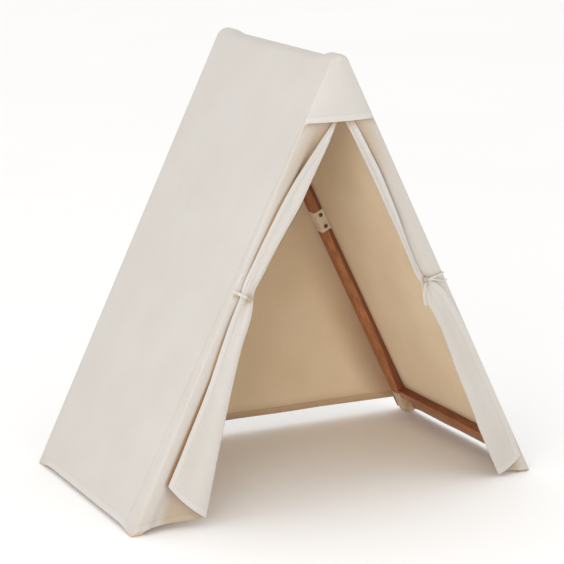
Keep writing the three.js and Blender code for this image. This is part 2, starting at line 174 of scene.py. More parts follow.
def cloth_sheet(
    name, points, outside, materials, uv, edge, painted_shade=0.0, painted_shade_inside=0.0, seam=1.0, thickness=CLOTH
):
    """A closed sheet from a grid of points on its outer face.

    outside is a vector that most of the outer face looks along. uv holds the flat cloth's own
    coordinates in metres, edge the distance from the nearest hem, seam the distance from a seam.
    The two arguments after edge say how much shade is painted at each point of the outer and inner face,
    from 0 to 1. materials are the outer face's and the inner face's.
    """
    shape = points.shape[:2]
    painted_shade = np.broadcast_to(painted_shade, shape)
    painted_shade_inside = np.broadcast_to(painted_shade_inside, shape)
    seam = np.broadcast_to(seam, shape)
    if np.mean(grid_normals(points) @ np.array(outside)) < 0:
        points, uv, edge, seam = points[::-1], uv[::-1], edge[::-1], seam[::-1]
        painted_shade, painted_shade_inside = painted_shade[::-1], painted_shade_inside[::-1]
    rows, columns = points.shape[:2]
    inner = points - grid_normals(points) * thickness
    vertices = np.concatenate([points.reshape(-1, 3), inner.reshape(-1, 3)])
    index = np.arange(rows * columns).reshape(rows, columns)
    a, b, c, d = index[:-1, :-1], index[1:, :-1], index[1:, 1:], index[:-1, 1:]
    shift = rows * columns
    outer_faces = np.stack([a, b, c, d], axis=-1).reshape(-1, 4)
    inner_faces = np.stack([a, d, c, b], axis=-1).reshape(-1, 4) + shift
    ring = np.concatenate([index[:, 0], index[-1, 1:], index[-2::-1, -1], index[0, -2:0:-1]])
    rim = np.stack([np.roll(ring, -1), ring, ring + shift, np.roll(ring, -1) + shift], axis=-1)
    faces = np.concatenate([outer_faces, inner_faces, rim])
    which = [0] * len(outer_faces) + [1] * len(inner_faces) + [0] * len(rim)
    obj = new_object(name, vertices, faces, materials, which)
    flat = np.concatenate([uv.reshape(-1, 2)] * 2)
    layer = obj.data.uv_layers.new(name="cloth")
    loops = np.zeros(len(obj.data.loops), np.int32)
    obj.data.loops.foreach_get("vertex_index", loops)
    layer.data.foreach_set("uv", flat[loops].astype(np.float32).ravel())
    for label, outer, inner in (("edge", edge, edge), ("seam", seam, seam), ("painted_shade", painted_shade, painted_shade_inside)):
        values = np.concatenate([outer.ravel(), inner.ravel()])
        attribute = obj.data.attributes.new(label, "FLOAT", "POINT")
        attribute.data.foreach_set("value", values.astype(np.float32))
    return obj


def loft(name, rings, material, closed=False):
    """A solid through a list of rings of points. It ends in flat caps, or joins up if closed."""
    rings = np.array(rings)
    count, sides = rings.shape[:2]
    faces = []
    for i in range(count if closed else count - 1):
        near = i * sides
        far = ((i + 1) % count) * sides
        for j in range(sides):
            k = (j + 1) % sides
            faces.append((near + j, near + k, far + k, far + j))
    if not closed:
        faces.append(tuple(range(sides - 1, -1, -1)))
        faces.append(tuple(range((count - 1) * sides, count * sides)))
    obj = new_object(name, rings.reshape(-1, 3), faces, [material])
    tidy = bmesh.new()
    tidy.from_mesh(obj.data)
    bmesh.ops.recalc_face_normals(tidy, faces=tidy.faces)
    tidy.to_mesh(obj.data)
    tidy.free()
    return obj


def swept(name, path, width, thickness, material, flat_towards, closed=False, sides=12):
    """A tape or cord along a path. flat_towards is the way its flat face looks."""
    path = np.array(path, float)
    if closed:
        tangents = np.roll(path, -1, axis=0) - np.roll(path, 1, axis=0)
    else:
        tangents = np.gradient(path, axis=0)
    tangents /= np.linalg.norm(tangents, axis=1, keepdims=True)
    face = np.broadcast_to(np.array(flat_towards, float), path.shape)
    across = np.cross(tangents, face)
    across /= np.maximum(np.linalg.norm(across, axis=1, keepdims=True), 1e-9)
    up = np.cross(across, tangents)
    turn = np.linspace(0, 2 * math.pi, sides, endpoint=False)
    # A rounded oblong: the exponents square off the ellipse.
    c = np.sign(np.cos(turn)) * np.abs(np.cos(turn)) ** 0.6
    s = np.sign(np.sin(turn)) * np.abs(np.sin(turn)) ** 0.6
    width = np.broadcast_to(width, len(path))
    rings = [
        p + np.outer(c, a) * w / 2 + np.outer(s, u) * thickness / 2
        for p, a, u, w in zip(path, across, up, width)
    ]
    return loft(name, rings, material, closed)


def curve_through(points, count):
    """Evenly numbered points on a smooth curve through a few given points."""
    points = np.array(points, float)
    padded = np.concatenate([[2 * points[0] - points[1]], points, [2 * points[-1] - points[-2]]])
    result = []
    for at in np.linspace(0, len(points) - 1 - 1e-9, count):
        i = int(at)
        t = at - i
        p0, p1, p2, p3 = padded[i : i + 4]
        result.append(
            0.5
            * (
                2 * p1
                + (p2 - p0) * t
                + (2 * p0 - 5 * p1 + 4 * p2 - p3) * t * t
                + (3 * p1 - p0 - 3 * p2 + p3) * t**3
            )
        )
    return np.array(result)


# -------- materials
def linear(red, green, blue):
    """A colour from 0 to 255 as the shader wants it."""
    channels = [value / 255 for value in (red, green, blue)]
    low = [c / 12.92 if c <= 0.04045 else ((c + 0.055) / 1.055) ** 2.4 for c in channels]
    return (*low, 1)


class Shader:
    """A node material in the making."""

    def __init__(self, name):
        self.material = bpy.data.materials.new(name)
        self.material.use_nodes = True
        self.tree = self.material.node_tree
        self.surface = self.tree.nodes["Principled BSDF"]

    def node(self, kind, inputs=None, **settings):
        node = self.tree.nodes.new(kind)
        for key, value in settings.items():
            setattr(node, key, value)
        for key, value in (inputs or {}).items():
            self.set(node, key, value)
        return node

    def set(self, node, key, value):
        if isinstance(value, bpy.types.NodeSocket):
            self.tree.links.new(value, node.inputs[key])
        else:
            node.inputs[key].default_value = value

    def math(self, operation, a, b=0.5):
        return self.node("ShaderNodeMath", {0: a, 1: b}, operation=operation).outputs[0]

    def mix(self, factor, a, b):
        node = self.node("ShaderNodeMix", data_type="RGBA")
        self.set(node, "Factor", factor)
        self.set(node, 6, a)
        self.set(node, 7, b)
        return node.outputs[2]

    def band(self, value, low, high, bottom=0.0, top=1.0):
        """Goes from bottom to top as value goes from low to high."""
        inputs = {"Value": value, "From Min": low, "From Max": high, "To Min": bottom, "To Max": top}
        node = self.node("ShaderNodeMapRange", inputs, interpolation_type="SMOOTHSTEP")
        return node.outputs["Result"]

    def noise(self, vector, scale, detail=3.0, roughness=0.5, distortion=0.0):
        inputs = {
            "Vector": vector,
            "Scale": scale,
            "Detail": detail,
            "Roughness": roughness,
            "Distortion": distortion,
        }
        return self.node("ShaderNodeTexNoise", inputs).outputs["Fac"]

    def mapped(self, vector, scale, rotation=(0, 0, 0)):
        inputs = {"Vector": vector, "Scale": scale, "Rotation": rotation}
        return self.node("ShaderNodeMapping", inputs).outputs["Vector"]

    def bump(self, height, distance, strength=1.0, normal=None):
        inputs = {"Height": height, "Distance": distance, "Strength": strength}
        if normal is not None:
            inputs["Normal"] = normal
        return self.node("ShaderNodeBump", inputs).outputs["Normal"]

    def finish(self, **inputs):
        for key, value in inputs.items():
            self.set(self.surface, key.replace("_", " "), value)
        return self.material


def canvas_material(name, plain, deep, shade_fleck_and_seam_tone, folded, hem_tone):
    """Cotton canvas. plain and deep are the two tones it drifts between.

    Where shade is painted on it, in folds, gaps and corners, it turns to its shade tone, and to folded
    where that painted shade is deepest. Its shade tone also colours its flecks and seam lines.
    """
    shader = Shader(name)
    coordinates = shader.node("ShaderNodeTexCoord").outputs["UV"]
    edge = shader.node("ShaderNodeAttribute", attribute_name="edge").outputs["Fac"]
    painted_shade = shader.node("ShaderNodeAttribute", attribute_name="painted_shade").outputs["Fac"]
    seam = shader.node("ShaderNodeAttribute", attribute_name="seam").outputs["Fac"]

    clouds = shader.noise(coordinates, 5.0, 4.0, 0.55)
    warp_slub = shader.noise(shader.mapped(coordinates, (420, 14, 1)), 1.0, 2.0, 0.6)
    weft_slub = shader.noise(shader.mapped(coordinates, (14, 420, 1)), 1.0, 2.0, 0.6)
    slubs = shader.math("ADD", warp_slub, weft_slub)
    colour = shader.mix(shader.band(clouds, 0.3, 0.7), plain, deep)
    colour = shader.mix(shader.band(slubs, 0.75, 1.25, 0.0, 0.3), colour, deep)
    flecks = shader.noise(shader.mapped(coordinates, (900, 260, 1)), 1.0, 1.0)
    colour = shader.mix(shader.band(flecks, 0.72, 0.8, 0.0, 0.2), colour, shade_fleck_and_seam_tone)

    # Hems are two layers thick, and a row of stitches holds them.
    colour = shader.mix(shader.band(edge, 0.019, 0.021, 0.5, 0.0), colour, hem_tone)
    split = shader.node("ShaderNodeSeparateXYZ", {"Vector": coordinates})
    along = shader.math("ADD", split.outputs["X"], split.outputs["Y"])
    dash = shader.math("SINE", shader.math("MULTIPLY", along, 2 * math.pi / 0.0042))
    from_line = shader.math("ABSOLUTE", shader.math("SUBTRACT", edge, STITCH_LINE))
    line = shader.band(from_line, 0.0004, 0.0011, 1, 0)
    stitch = shader.math("MULTIPLY", line, shader.band(dash, -0.5, 0.1))
    pucker = shader.band(from_line, 0.0, 0.004, 1, 0)
    # Painted shade in the pucker beside the stitches.
    colour = shader.mix(shader.math("MULTIPLY", pucker, 0.08), colour, shade_fleck_and_seam_tone)
    colour = shader.mix(shader.math("MULTIPLY", stitch, 0.5), colour, hem_tone)
    # Painted shade from the shade attribute: the shade tone, then folded where it is deepest.
    colour = shader.mix(painted_shade, colour, shade_fleck_and_seam_tone)
    colour = shader.mix(shader.band(painted_shade, 0.70, 1.0), colour, folded)
    joined = shader.band(shader.math("ABSOLUTE", seam), 0.0006, 0.0020, 1, 0)
    colour = shader.mix(shader.math("MULTIPLY", joined, 0.24), colour, shade_fleck_and_seam_tone)

    threads = shader.math(
        "ADD",
        shader.math("SINE", shader.math("MULTIPLY", split.outputs["X"], 2 * math.pi / 0.0016)),
        shader.math("SINE", shader.math("MULTIPLY", split.outputs["Y"], 2 * math.pi / 0.0016)),
    )
    weave = shader.math("ADD", shader.math("MULTIPLY", threads, 0.25), slubs)
    normal = shader.bump(weave, 0.00025, 0.55)
    creases = shader.noise(coordinates, 26.0, 3.0, 0.6, 0.4)
    normal = shader.bump(creases, 0.0016, 0.35, normal)
    hemmed = shader.math("SUBTRACT", shader.math("MULTIPLY", stitch, 0.6), pucker)
    normal = shader.bump(shader.math("SUBTRACT", hemmed, joined), 0.0007, 0.8, normal)
    roughness = shader.band(clouds, 0.3, 0.7, 0.86, 0.97)
    return shader.finish(
        Base_Color=colour, Roughness=roughness, Normal=normal, Sheen_Weight=0.18, Sheen_Roughness=0.5
    )


def plain_cloth(name, plain, deep):
    """Canvas for small pieces, with its weave laid out in space rather than on a pattern."""
    shader = Shader(name)
    place = shader.node("ShaderNodeTexCoord").outputs["Object"]
    patches = shader.noise(place, 30.0, 4.0, 0.6)
    warp = shader.noise(shader.mapped(place, (500, 500, 60)), 1.0, 2.0)
    colour = shader.mix(shader.band(patches, 0.3, 0.7), plain, deep)
    colour = shader.mix(shader.band(warp, 0.5, 0.75, 0.0, 0.3), colour, deep)
    normal = shader.bump(warp, 0.0005, 0.5)
    return shader.finish(Base_Color=colour, Roughness=0.93, Normal=normal, Sheen_Weight=0.15)


def tape_material(name, plain, deep):
    """Narrow cotton tape with a rib across it."""
    shader = Shader(name)
    place = shader.node("ShaderNodeTexCoord").outputs["Object"]
    patches = shader.noise(place, 60.0, 3.0)
    colour = shader.mix(shader.band(patches, 0.3, 0.7), plain, deep)
    ribs = shader.noise(shader.mapped(place, (900, 900, 900)), 1.0, 1.0)
    colour = shader.mix(shader.band(ribs, 0.55, 0.75, 0.0, 0.25), colour, linear(170, 150, 122))
    normal = shader.bump(ribs, 0.0004, 0.6)
    return shader.finish(Base_Color=colour, Roughness=0.9, Normal=normal, Sheen_Weight=0.15)


def wood_material(name, turn, stretch, dark_low, dark_high):
    """Stained pine. turn lines the grain up with the piece, stretch draws it out along it.

    It has painted shade next to the canvas: from n = dark_low at the floor, and dark_high further up.
    """
    shader = Shader(name)
    place = shader.node("ShaderNodeTexCoord").outputs["Object"]
    split = shader.node("ShaderNodeSeparateXYZ", {"Vector": place})
    x = shader.math("ABSOLUTE", split.outputs["X"])
    z = split.outputs["Z"]
    from_axis = shader.math("SUBTRACT", z, AXIS_Z)
    n = shader.math("ADD", shader.math("MULTIPLY", x, COS), shader.math("MULTIPLY", from_axis, SIN))
    dark_from = shader.band(z, 0.03, 0.30, dark_low, dark_high)
    shade = shader.math("DIVIDE", shader.math("SUBTRACT", n, dark_from), 0.006)
    along = shader.mapped(place, (1, 1, 1), turn)
    grain_place = shader.mapped(along, stretch)
    figure = shader.noise(grain_place, 2.2, 5.0, 0.6, 1.2)
    rings = shader.math("SINE", shader.math("MULTIPLY", figure, 46.0))
    fine = shader.noise(shader.mapped(along, tuple(6 * v for v in stretch)), 6.0, 3.0, 0.7)
    colour = shader.mix(shader.band(rings, -0.9, 0.9), linear(186, 118, 74), linear(150, 90, 52))
    colour = shader.mix(shader.band(fine, 0.35, 0.72), colour, linear(124, 70, 38))
    blotch = shader.noise(place, 9.0, 2.0)
    colour = shader.mix(shader.band(blotch, 0.35, 0.75, 0.0, 0.3), colour, linear(196, 132, 84))
    bevel = shader.node("ShaderNodeNewGeometry").outputs["Pointiness"]
    colour = shader.mix(shader.band(bevel, 0.53, 0.62, 0.0, 0.25), colour, linear(206, 150, 104))
    # Painted shade next to the canvas.
    colour = shader.mix(shader.band(shade, 0.0, 1.0, 0.0, 0.72), colour, linear(104, 46, 20))
    normal = shader.bump(fine, 0.0005, 0.35, shader.bump(rings, 0.0004, 0.2))
    roughness = shader.band(fine, 0.3, 0.7, 0.42, 0.62)
    return shader.finish(Base_Color=colour, Roughness=roughness, Normal=normal)


def metal_material(name, bright, dark, roughness):
    """Plated metal, a little duller in patches and brushed by handling."""
    shader = Shader(name)
    place = shader.node("ShaderNodeTexCoord").outputs["Object"]
    patches = shader.noise(place, 180.0, 4.0, 0.6)
    scratches = shader.noise(shader.mapped(place, (200, 2600, 200)), 1.0, 2.0)
    colour = shader.mix(shader.band(patches, 0.35, 0.7), bright, dark)
    rough = shader.band(scratches, 0.3, 0.7, roughness, roughness + 0.2)
    normal = shader.bump(scratches, 0.0002, 0.25)
    return shader.finish(Base_Color=colour, Metallic=1.0, Roughness=rough, Normal=normal)


# In each canvas below the fourth and fifth tones colour painted shade; the fourth also its flecks and
# seams.
CANVAS_OUT = canvas_material(
    "canvas_outside",
    plain=linear(190, 186, 181),
    deep=linear(187, 182, 176),
    shade_fleck_and_seam_tone=linear(156, 127, 87),
    folded=linear(203, 154, 104),
    hem_tone=linear(195, 192, 188),
)
# The inside of the canvas is a tan, darker copy of the outside: painted shade, as seen inside the tent.
CANVAS_IN_SHADED = canvas_material(
    "canvas_inside_painted_shade",
    plain=linear(232, 212, 182),
    deep=linear(226, 204, 171),
    shade_fleck_and_seam_tone=linear(134, 84, 44),
    folded=linear(134, 84, 44),
    hem_tone=linear(208, 180, 144),
)
TAB_CANVAS = canvas_material(
    "tab_canvas",
    plain=linear(232, 216, 194),
    deep=linear(216, 196, 170),
    shade_fleck_and_seam_tone=linear(170, 128, 86),
    folded=linear(170, 128, 86),
    hem_tone=linear(236, 222, 202),
)
# The foot pockets are tan and darker than the canvas: painted shade, as inside the tent.
POCKET_CANVAS_SHADED = plain_cloth("pocket_canvas_painted_shade", linear(196, 172, 140), linear(176, 146, 110))
TAPE = tape_material("tape", linear(198, 193, 186), linear(186, 179, 168))
# The knots are a darker, warmer copy of the tape: painted shade in the gather.
KNOT_TAPE_SHADED = tape_material("knot_tape_painted_shade", linear(178, 168, 154), linear(156, 138, 112))
GRAIN_LEFT = wood_material("wood_left_leg", (0, -SLOPE, 0), (9, 9, 0.9), 0.006, 0.0185)
GRAIN_RIGHT = wood_material("wood_right_leg", (0, SLOPE, 0), (9, 9, 0.9), 0.006, 0.0185)
GRAIN_RAIL = wood_material("wood_rail", (0, 0, 0), (9, 0.9, 9), 0.0055, 0.0055)
STEEL = metal_material("zinc_plated_steel", linear(196, 196, 192), linear(150, 150, 146), 0.3)
SNAP_METAL = metal_material("antique_brass", linear(132, 104, 74), linear(84, 60, 40), 0.38)


# -------- CAD nodes that stay
def dress_cad():
    """Wood and metal finishes on the CAD nodes, with softened edges on the wood."""
    for name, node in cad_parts.items():
        if name.endswith("_leg"):
            material = GRAIN_LEFT if "left" in name else GRAIN_RIGHT
        elif name.endswith("_rail"):
            material = GRAIN_RAIL
        else:
            material = STEEL
        node.data.materials.clear()
        node.data.materials.append(material)
        if material is not STEEL:
            rounding = node.modifiers.new("rounded_edges", "BEVEL")
            rounding.width = 0.0016
            rounding.segments = 2
            rounding.limit_method = "ANGLE"
            rounding.angle_limit = math.radians(50)
            rounding.use_clamp_overlap = True


# -------- canvas on a side
def cover(name):
    """Half of the ridge, the sloping side, and the turned edges over the front and back legs."""
    side = SIDES[name]
    reach = math.pi / 2 - SLOPE  # of the rounded ridge, each way from the top
    top_arc = stations([0, reach], math.radians(4))
    hem_s = slope_at(0.011, CANVAS_N)
    down = stations([0, -hem_s - 0.024, -hem_s - 0.019, -hem_s - 0.0165, -hem_s - 0.004, -hem_s], 0.0125)
    down = down[1:]
    lengths = np.concatenate([top_arc * CANVAS_N, reach * CANVAS_N + down])

    # Across the ridge: depth inward from the surface against y, from the back leg to the front leg.
    front = STRIP_Y
    back = BACK_Y + 0.0012
    straight = stations([CORNER, TURNED], 0.006)
    bend = np.linspace(0, math.pi / 2, 5)[1:-1]
    bend_depth = CORNER * (1 - np.sin(bend))
    bend_y = CORNER * (1 - np.cos(bend))
    middle = stations([front + CORNER, front + 0.012, back - 0.012, back - CORNER], 0.0125)[::-1]
    flat_part = 0 * middle
    depth = np.concatenate([straight[::-1], bend_depth, flat_part, bend_depth[::-1], straight])
    at_back = back + 0 * straight
    at_front = front + 0 * straight
    across_y = np.concatenate([at_back, back - bend_y, middle, front + bend_y[::-1], at_front])
    run = np.concatenate([[0], np.cumsum(np.hypot(np.diff(depth), np.diff(across_y)))])

    # The hem dips to the floor at the two corners.
    y_middle = (front + back) / 2
    half = (back - front) / 2
    off_middle = np.abs(across_y - y_middle) / half
    hem_z = 0.0115 - 0.0085 * smoothstep(0.72, 1.0, off_middle) + 0.007 * depth / TURNED

    angle = np.where(lengths < reach * CANVAS_N, lengths / CANVAS_N, reach)
    s_plain = np.minimum(reach * CANVAS_N - lengths, 0)
    share = s_plain / s_plain[-1]
    inner_n = CANVAS_N - depth
    bottom = slope_at(hem_z, inner_n)
    s = share[:, None] * bottom[None, :]
    turn_x = np.sin(angle)[:, None]
    turn_z = np.cos(angle)[:, None]

    # Slack cloth dips between the frame tops, and between the legs on the slope.
    between = smoothstep(0.0, 0.05, half - 0.042 - np.abs(across_y - y_middle))
    on_ridge = np.cos(np.clip(angle / math.radians(62), 0, 1) * math.pi / 2)[:, None]
    on_slope = np.clip(1 - angle / reach, 0, 1)[:, None]
    dip = 0.0078 * on_ridge * between[None, :]
    puff = FRONT_PUFF * on_ridge * smoothstep(0.13, 0.04, across_y - front)[None, :]
    y_share = np.clip(1 - (np.abs(across_y - y_middle) / (half - 0.03)) ** 2, 0, 1)[None, :]
    sag = 0.0055 * np.sin(np.pi * np.clip((share - 0.05) / 0.87, 0, 1))[:, None] ** 0.8 * y_share
    radius = inner_n[None, :] - dip + puff - sag * (on_slope == 0)

    x = side * (radius * turn_x - s * SIN)
    z = AXIS_Z + radius * turn_z + s * COS
    y = np.broadcast_to(across_y[None, :], s.shape)
    points = np.stack([x, y, z], axis=-1)

    # Loose ripples, none where two halves meet and none over the wood.
    loose = (y_share**0.5) * smoothstep(0.05, 0.2, share)[:, None]
    waves = 0.0022 * ripple(points, 0.22, 2 + side) + 0.0008 * ripple(points, 0.07, 5 + side)
    points = points - grid_normals(points) * (waves * loose)[..., None]

    to_hem = (s_plain - s_plain[-1])[:, None] + 0 * s
    to_turned_edge = np.minimum(run, run[-1] - run)[None, :] + 0 * s
    edge = np.minimum(to_hem, to_turned_edge + 0.02)
    uv = np.stack(np.broadcast_arrays(lengths[:, None], run[None, :]), axis=-1)
    outward = (side * COS, 0, SIN)

    # Painted shade on the inner face where it meets the legs and the bottom rail.
    by_leg = np.minimum(y - LEG_FACES_Y[0], LEG_FACES_Y[1] - y)
    by_rail = np.where(np.abs(y) < LEG_FACES_Y[1], s - RAIL_TOP_S, 1)
    painted_shade_inside = np.exp(-np.clip(by_leg, 0, 1) / 0.007) + np.exp(-np.clip(by_rail, 0, 1) / 0.008)
    painted_shade_inside = 0.8 * np.minimum(painted_shade_inside, 1)

    # Painted shade on the outer face: a little at the feet and where it turns the corners.
    by_foot = 0.20 * smoothstep(0.03, 0.0, to_hem) + 0.09 * smoothstep(0.16, 0.0, to_hem)
    painted_tint = by_foot * smoothstep(0.75, 1.0, off_middle)[None, :]
    bends = np.maximum(smoothstep(0.014, 0.0, across_y - front), smoothstep(0.014, 0.0, back - across_y))
    painted_tint = painted_tint + 0.05 * bends[None, :]

    # A seam leaves the front corner under the valance and reaches the floor a little way back.
    below_valance = share[:, None] > 0.1
    seam = np.where(below_valance, across_y[None, :] - front - SEAM_DRIFT * share[:, None], 1)
    # Painted shade between the seam and the front corner, where the cloth turns towards the front.
    painted_tint = np.maximum(painted_tint, 0.035 * smoothstep(0.004, -0.004, seam))
    # The inner face takes the tan inside canvas: painted shade.
    materials = (CANVAS_OUT, CANVAS_IN_SHADED)
    piece = cloth_sheet(f"{name}_cover", points, outward, materials, uv, edge, painted_tint, painted_shade_inside, seam)
    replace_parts(piece, f"{name}_side_panel", f"{name}_front_strip")
    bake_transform(piece)
    return piece


def end_wall(name, node, hem_z, depth, puff=0.0, inset=0.0012, shade=(0.0, 0.0)):
    """A wall across one end, rounded over the ridge, down to a level hem.

    depth(share, z, from_edge) is the wall's y. inset is how far its edges lie inside the cover.
    shade says how much shade is painted on the inner face at its hem and by the legs.
    """
    outward_y = 1 if node == "back_wall" else -1
    round_n = CANVAS_N - inset
    top = AXIS_Z + round_n
    tangent_z = AXIS_Z + CANVAS_N * SIN
    levels = stations([hem_z, hem_z + 0.016, hem_z + 0.0205, hem_z + 0.03, tangent_z], 0.0125)
    over = top - np.linspace(top - tangent_z, 0, 9)[1:]
    z = np.concatenate([levels, over])
    plain = (PEAK_Z - z) * math.tan(SLOPE) - inset / COS
    rounded = np.sqrt(np.maximum(round_n**2 - (z - AXIS_Z) ** 2, 0.0015**2))
    half = np.where(z > tangent_z, np.minimum(rounded, plain), plain)
    edge_steps = np.array([0, 0.0025, 0.006, 0.012, 0.02, 0.03]) / float(half[0])
    inner_steps = stations([edge_steps[-1], 1.0], 0.0125 / float(half[0]))[1:]
    from_left = np.concatenate([edge_steps, inner_steps]) - 1
    share = np.concatenate([from_left, -from_left[-2::-1]])
    x = half[:, None] * share[None, :]
    high = z[:, None] + 0 * x
    high = high + puff * np.clip(1 - np.abs(x) / 0.03, 0, 1) * smoothstep(AXIS_Z - 0.06, AXIS_Z, high)
    from_edge = half[:, None] * (1 - np.abs(share))[None, :]
    y = depth(share[None, :], high, from_edge)
    points = np.stack([x, y, high], axis=-1)
    low = 1 - smoothstep(0.0, 0.2, high - hem_z)
    points[..., 2] += 0.0015 * ripple(points, 0.2, 13) * low * smoothstep(0, 0.02, from_edge)
    uv = np.stack([x, z[:, None] + 0 * x], axis=-1)
    edge = uv[..., 1] - hem_z
    # Painted shade on the inner face at the hem and by the legs.
    by_leg = smoothstep(0.150, 0.036, from_edge) * smoothstep(0.85, 0.10, high)
    painted_tint = np.maximum(shade[0] * smoothstep(0.045, 0.0, edge), shade[1] * by_leg)
    outward = (0, outward_y, 0)
    piece = cloth_sheet(name, points, outward, (CANVAS_OUT, CANVAS_IN_SHADED), uv, edge, 0.0, painted_tint)
    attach(piece, "ridge")
    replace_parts(piece, node)
    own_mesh(piece)
    return piece


def back_wall():
    """The wall at the back hangs just outside the back legs, with a slight belly."""

    def depth(share, z, from_edge):
        below = np.clip((AXIS_Z - z) / (AXIS_Z - BACK_HEM_Z), 0, 1)
        loose = (1 - share**4) * smoothstep(0.04, 0.25, below)
        belly = 0.004 * (1 - share**2) * np.sin(below * math.pi * 0.62)
        place = np.stack(np.broadcast_arrays(share * 0.5, z, 0.0), axis=-1)
        return BACK_Y + belly + 0.0018 * ripple(place, 0.16, 11) * loose

    return end_wall("back_canvas", "back_wall", BACK_HEM_Z, depth, shade=(0.45, 0.62))


def valance():
    """The short wall over the door runs on from the corners of the cover, in front of the curtains."""
    front = [(-0.010, -0.0018), (0.0, -0.0018), (0.0025, 0.0022), (0.006, 0.0034), (0.012, 0.0052),
             (0.03, 0.0100), (0.06, 0.0118), (0.2, 0.0125)]

    def depth(share, z, from_edge):
        across, forward = np.array(front).T
        proud = np.interp(from_edge, across, forward)
        near_top = smoothstep(AXIS_Z - 0.05, AXIS_Z + 0.02, z)
        loose = smoothstep(0.0, 0.03, from_edge)
        place = np.stack(np.broadcast_arrays(share * 0.1, z, 0.0), axis=-1)
        return STRIP_Y - proud * (1 - 0.55 * near_top) + 0.0010 * ripple(place, 0.09, 12) * loose

    hem_z = VALANCE_HEM_Z
    return end_wall("valance", "front_valance", hem_z, depth, puff=FRONT_PUFF, inset=0.0018)


# -------- door curtains
# Down the slope, each against s: the n of the fold at the opening and of the free edge, how far the
# free edge (lift) and the fold (roll) stand in front of the front plane, and the painted shade beside
# the free edge (gap). fold_z and seam_z are the hem's heights, free_s is where the free edge ends.
# band_shadow is the painted shadow under the tie's band, lapel_tint painted shade on the lapel.
CURTAINS = {
    "left": {
        "fold": [(-0.08, -0.033), (-0.115, -0.050), (-0.19, -0.051), (-0.26, -0.047), (-0.36, -0.044),
                 (-0.43, -0.034), (-0.50, -0.026), (-0.56, -0.022), (-0.60, -0.018), (-0.612, -0.016),
                 (-0.638, -0.029), (-0.66, -0.036), (-0.69, -0.041), (-0.74, -0.044), (-0.80, -0.054),
                 (-0.87, -0.068), (-0.95, -0.085), (-1.04, -0.105), (-1.20, -0.143)],
        "free": [(-0.08, -0.031), (-0.13, -0.040), (-0.19, -0.024), (-0.31, 0.001), (-0.38, 0.009),
                 (-0.50, 0.015), (-0.58, 0.018), (-0.615, 0.018), (-0.635, 0.013), (-0.70, 0.013),
                 (-0.76, 0.009), (-0.87, -0.001), (-1.15, -0.003)],
        "lift": [(-0.08, 0.003), (-0.15, 0.004), (-0.24, 0.007), (-0.40, 0.007), (-0.50, 0.003),
                 (-0.58, 0.002), (-0.629, 0.0035), (-0.68, 0.005), (-0.85, 0.006), (-1.15, 0.011)],
        "roll": [(-0.08, 0.003), (-0.15, 0.004), (-0.24, 0.008), (-0.45, 0.009), (-0.58, 0.007),
                 (-0.629, 0.005), (-0.68, 0.008), (-0.80, 0.011), (-1.15, 0.013)],
        "fold_z": 0.023,
        "seam_z": 0.009,
        "free_s": -1.151,
        "hem_sag": 0.006,
        "gap": [(-0.08, 0.68), (-0.20, 0.78), (-0.40, 0.88), (-0.50, 0.84), (-0.60, 0.40),
                (-0.629, 0.20), (-0.66, 0.45), (-0.80, 0.92), (-0.95, 1.00)],
        "band_shadow": 0.7,
        "lapel_tint": 0.0,
    },
    "right": {
        "fold": [(-0.08, -0.033), (-0.115, -0.046), (-0.16, -0.044), (-0.30, -0.041), (-0.56, -0.041),
                 (-0.60, -0.043), (-0.63, -0.038), (-0.645, -0.040), (-0.67, -0.046),
                 (-0.69, -0.046), (-0.72, -0.041), (-0.78, -0.039), (-0.84, -0.043), (-0.94, -0.050),
                 (-1.04, -0.053), (-1.10, -0.058), (-1.25, -0.061)],
        "free": [(-0.08, -0.026), (-0.17, -0.021), (-0.30, -0.015), (-0.42, -0.019), (-0.50, -0.025),
                 (-0.57, -0.029), (-0.61, -0.027), (-0.629, -0.020), (-0.655, 0.003), (-0.69, 0.016),
                 (-0.75, 0.025), (-0.85, 0.0285), (-1.17, 0.0285), (-1.25, 0.022)],
        "lift": [(-0.08, 0.002), (-0.30, 0.003), (-0.50, 0.002), (-0.629, 0.003), (-1.15, 0.002)],
        "roll": [(-0.08, 0.003), (-0.15, 0.004), (-0.24, 0.007), (-0.50, 0.008), (-0.59, 0.006),
                 (-0.629, 0.004), (-0.70, 0.004), (-0.80, 0.008), (-1.15, 0.010)],
        "fold_z": 0.010,
        "seam_z": 0.006,
        "free_s": -1.246,
        "hem_sag": 0.006,
        "gap": [(-0.08, 0.50), (-0.30, 0.20), (-0.50, 0.20), (-0.60, 0.40), (-0.64, 0.30), (-0.70, 0.0)],
        "band_shadow": 0.15,
        "lapel_tint": 0.05,
    },
}
KNOT_N = {"left": -0.010, "right": -0.023}


